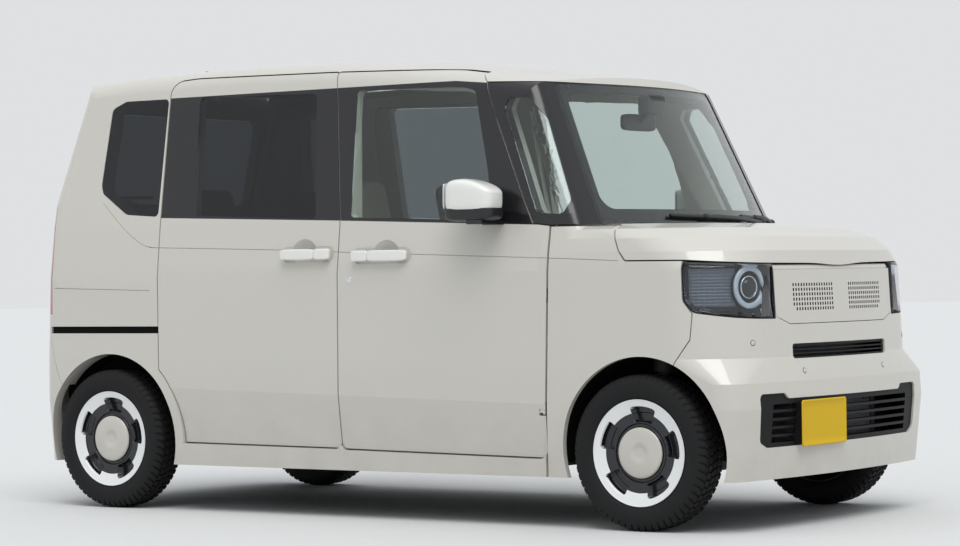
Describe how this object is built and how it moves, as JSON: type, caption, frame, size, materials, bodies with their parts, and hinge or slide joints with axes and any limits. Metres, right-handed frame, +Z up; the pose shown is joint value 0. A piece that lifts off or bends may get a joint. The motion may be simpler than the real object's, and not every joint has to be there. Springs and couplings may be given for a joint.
{
  "type": "kei car",
  "caption": "Small tall car with sliding rear doors, pale beige body, black pillar trim, round projector headlamps and steel-look wheels.",
  "frame": {"origin": "on the ground under the middle of the body's length and width", "axes": "+X forward, +Y to the car's left, +Z up"},
  "size_m": [3.3935, 1.76, 1.8009],
  "materials": {
    "ivory_paint": "gloss",
    "white_plastic": "gloss",
    "black_gloss": "gloss",
    "clear_glass": "gloss",
    "dark_glass": "gloss",
    "lamp_red": "gloss",
    "lamp_clear": "gloss",
    "black_plastic": "matte",
    "tyre_rubber": "matte",
    "wheel_paint": "satin",
    "underbody_paint": "matte",
    "chassis_steel": "matte",
    "cast_alloy": "matte",
    "radiator_alloy": "matte",
    "exhaust_steel": "satin",
    "cabin_plastic": "matte",
    "seat_cloth": "matte"
  },
  "bodies": {
    "car_body": {"arch_liners": "black_plastic", "body_side_left": "ivory_paint", "body_side_right": "ivory_paint", "corner_frames": "black_gloss", "cowl": "black_plastic", "dashboard": "cabin_plastic", "engine_block": "cast_alloy", "exhaust": "exhaust_steel", "fender_left": "ivory_paint", "fender_right": "ivory_paint", "floor_pan": "underbody_paint", "front_bumper": "ivory_paint", "front_seats": "seat_cloth", "front_structure": "underbody_paint", "front_suspension": "chassis_steel", "fuel_tank": "black_plastic", "grille_panel": "ivory_paint", "headlamps": "lamp_clear", "lower_grille": "black_plastic", "pillar_covers": "black_gloss", "radiator": "radiator_alloy", "rear_axle": "chassis_steel", "rear_bumper": "ivory_paint", "rear_seats": "seat_cloth", "roof_antenna": "black_plastic", "roof_panel": "ivory_paint", "seat_bases": "black_plastic", "side_glass": "dark_glass", "sliding_door_glass": "dark_glass", "sliding_door_handles": "white_plastic", "sliding_door_left": "ivory_paint", "sliding_door_right": "ivory_paint", "tail_lamps": "lamp_red", "windscreen": "clear_glass"},
    "front_door_right": {"front_door_right": "ivory_paint", "front_door_glass_right": "clear_glass", "front_door_trim_right": "black_gloss", "mirror_and_handle_right": "white_plastic"},
    "front_door_left": {"front_door_left": "ivory_paint", "front_door_glass_left": "clear_glass", "front_door_trim_left": "black_gloss", "mirror_and_handle_left": "white_plastic"},
    "hood": {"hood": "ivory_paint"},
    "tailgate": {"tailgate": "ivory_paint", "tailgate_glass": "dark_glass"},
    "steering_wheel": {"steering_wheel": "cabin_plastic"},
    "knuckle_right": {"knuckle_right": "chassis_steel"},
    "knuckle_left": {"knuckle_left": "chassis_steel"},
    "wheel_front_right": {"wheel_front_right": "wheel_paint", "tyre_front_right": "tyre_rubber"},
    "wheel_front_left": {"wheel_front_left": "wheel_paint", "tyre_front_left": "tyre_rubber"},
    "wheel_rear_right": {"wheel_rear_right": "wheel_paint", "tyre_rear_right": "tyre_rubber"},
    "wheel_rear_left": {"wheel_rear_left": "wheel_paint", "tyre_rear_left": "tyre_rubber"}
  },
  "joints": [
    {"name": "front_door_right_hinge", "type": "hinge", "parent": "car_body", "child": "front_door_right", "pos_m": [0.84732, -0.7285, 0.635], "axis": [0.03, 0, 0.9996], "range_deg": [0, 68]},
    {"name": "front_door_left_hinge", "type": "hinge", "parent": "car_body", "child": "front_door_left", "pos_m": [0.84732, 0.7285, 0.635], "axis": [-0.03, 0, -0.9996], "range_deg": [0, 68]},
    {"name": "hood_hinge", "type": "hinge", "parent": "car_body", "child": "hood", "pos_m": [1.048, 0, 1.079], "axis": [0, -1, 0], "range_deg": [0, 50]},
    {"name": "tailgate_hinge", "type": "hinge", "parent": "car_body", "child": "tailgate", "pos_m": [-1.488, 0, 1.7493], "axis": [0, 1, 0], "range_deg": [0, 80]},
    {"name": "steering", "type": "hinge", "parent": "car_body", "child": "steering_wheel", "pos_m": [0.545, -0.33, 0.965], "axis": [-0.8818, 0, 0.4717], "range_deg": [-480, 480]},
    {"name": "steer_right", "type": "hinge", "parent": "car_body", "child": "knuckle_right", "pos_m": [1.2335, -0.585, 0.186], "axis": [0, 0.1412, 0.99], "range_deg": [-35, 35]},
    {"name": "steer_left", "type": "hinge", "parent": "car_body", "child": "knuckle_left", "pos_m": [1.2335, 0.585, 0.186], "axis": [0, -0.1412, 0.99], "range_deg": [-35, 35]},
    {"name": "wheel_front_right_spin", "type": "hinge", "parent": "knuckle_right", "child": "wheel_front_right", "pos_m": [1.2335, -0.6525, 0.2785], "axis": [0, 1, 0], "continuous": true},
    {"name": "wheel_front_left_spin", "type": "hinge", "parent": "knuckle_left", "child": "wheel_front_left", "pos_m": [1.2335, 0.6525, 0.2785], "axis": [0, 1, 0], "continuous": true},
    {"name": "wheel_rear_right_spin", "type": "hinge", "parent": "car_body", "child": "wheel_rear_right", "pos_m": [-1.2865, -0.6525, 0.2785], "axis": [0, 1, 0], "continuous": true},
    {"name": "wheel_rear_left_spin", "type": "hinge", "parent": "car_body", "child": "wheel_rear_left", "pos_m": [-1.2865, 0.6525, 0.2785], "axis": [0, 1, 0], "continuous": true}
  ],
  "couplings": [
    {"joint": "steer_right", "follows": "steering", "ratio": 0.0729},
    {"joint": "steer_left", "follows": "steering", "ratio": 0.0729}
  ]
}
